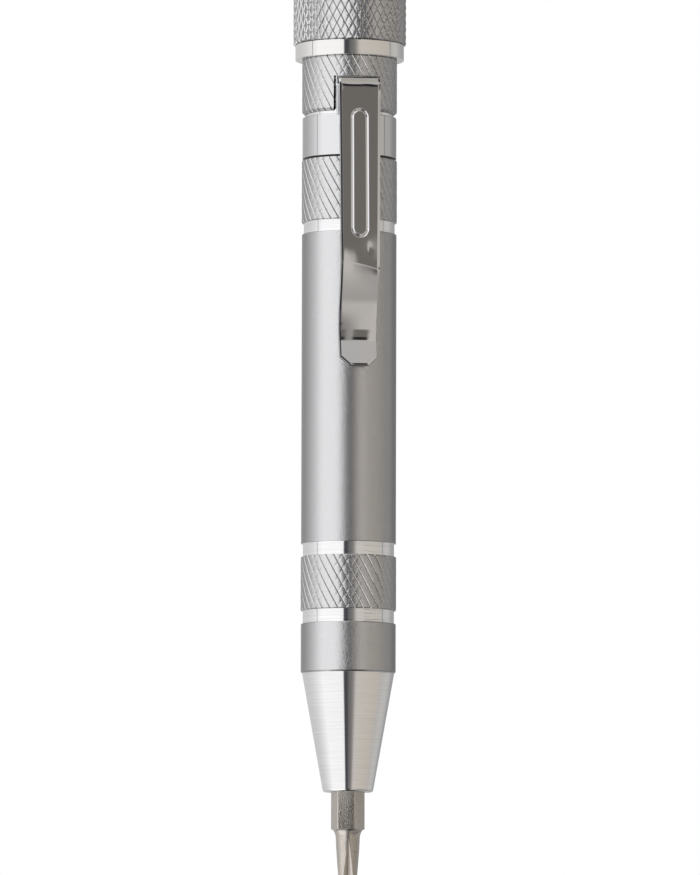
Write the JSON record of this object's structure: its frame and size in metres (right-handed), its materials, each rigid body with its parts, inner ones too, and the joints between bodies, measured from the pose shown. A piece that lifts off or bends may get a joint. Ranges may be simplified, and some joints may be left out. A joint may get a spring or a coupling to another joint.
{
  "type": "pocket screwdriver",
  "caption": "Pen-shaped pocket screwdriver with a swivelling head, a spring clip, a hexagonal bit in a conical nose and stored bits in the handle.",
  "frame": {"origin": "the tip of the driver bit, on the handle's axis", "axes": "+Z along the handle's axis from the tip to the head; the clip faces -Y, turned about 10 degrees towards +X"},
  "size_m": [0.0152, 0.0168, 0.1227],
  "materials": {
    "satin_handle": "bead-blasted satin, with knurled bands and bright turned grooves",
    "knurled_sleeve": "diamond knurled",
    "polished_nose": "polished plating",
    "socket_steel": "machined",
    "magnet": "nickel plated",
    "clip_steel": "bright plated sheet",
    "bit_steel": "matt hardened tool steel",
    "bright_collar": "polished plating with fine turning lines",
    "seal_rubber": "matt",
    "washer_plastic": "matt",
    "ring_steel": "spring steel",
    "ball_steel": "polished",
    "knurled_head": "diamond knurled",
    "rack_plastic": "moulded, fine grain"
  },
  "bodies": {
    "handle": {"handle": "satin_handle", "upper_sleeve": "knurled_sleeve", "nose_cone": "polished_nose", "bit_socket": "socket_steel", "socket_magnet": "magnet", "clip_band": "clip_steel"},
    "clip": {"clip_arm": "clip_steel"},
    "bit": {"driver_bit": "bit_steel"},
    "cap": {"cap_plug": "bright_collar", "cap_seal": "seal_rubber", "swivel_washer": "washer_plastic", "swivel_snap_ring": "ring_steel", "thrust_ball": "ball_steel", "bit_rack": "rack_plastic", "cross_bit_0": "bit_steel", "cross_bit_00": "bit_steel", "slot_bit_2": "bit_steel", "slot_bit_3": "bit_steel", "star_bit_6": "bit_steel", "hex_bit_2": "bit_steel"},
    "head": {"swivel_head": "knurled_head"}
  },
  "joints": [
    {"name": "clip_spring", "type": "hinge", "parent": "handle", "child": "clip", "pos_m": [0.00122, -0.0068, 0.10996], "axis": [-0.9842, -0.1771, 0], "range_deg": [0, 5], "stiffness_Nm_per_rad": 0.1, "springref_deg": -2.86},
    {"name": "bit_pull", "type": "slide", "parent": "handle", "child": "bit", "axis": [0, 0, -1], "range_m": [0, 0.016]},
    {"name": "cap_pull", "type": "slide", "parent": "handle", "child": "cap", "axis": [0, 0, 1], "range_m": [0, 0.0735]},
    {"name": "head_swivel", "type": "hinge", "parent": "cap", "child": "head", "pos_m": [0, 0, 0.11951], "axis": [0, 0, 1], "continuous": true}
  ]
}
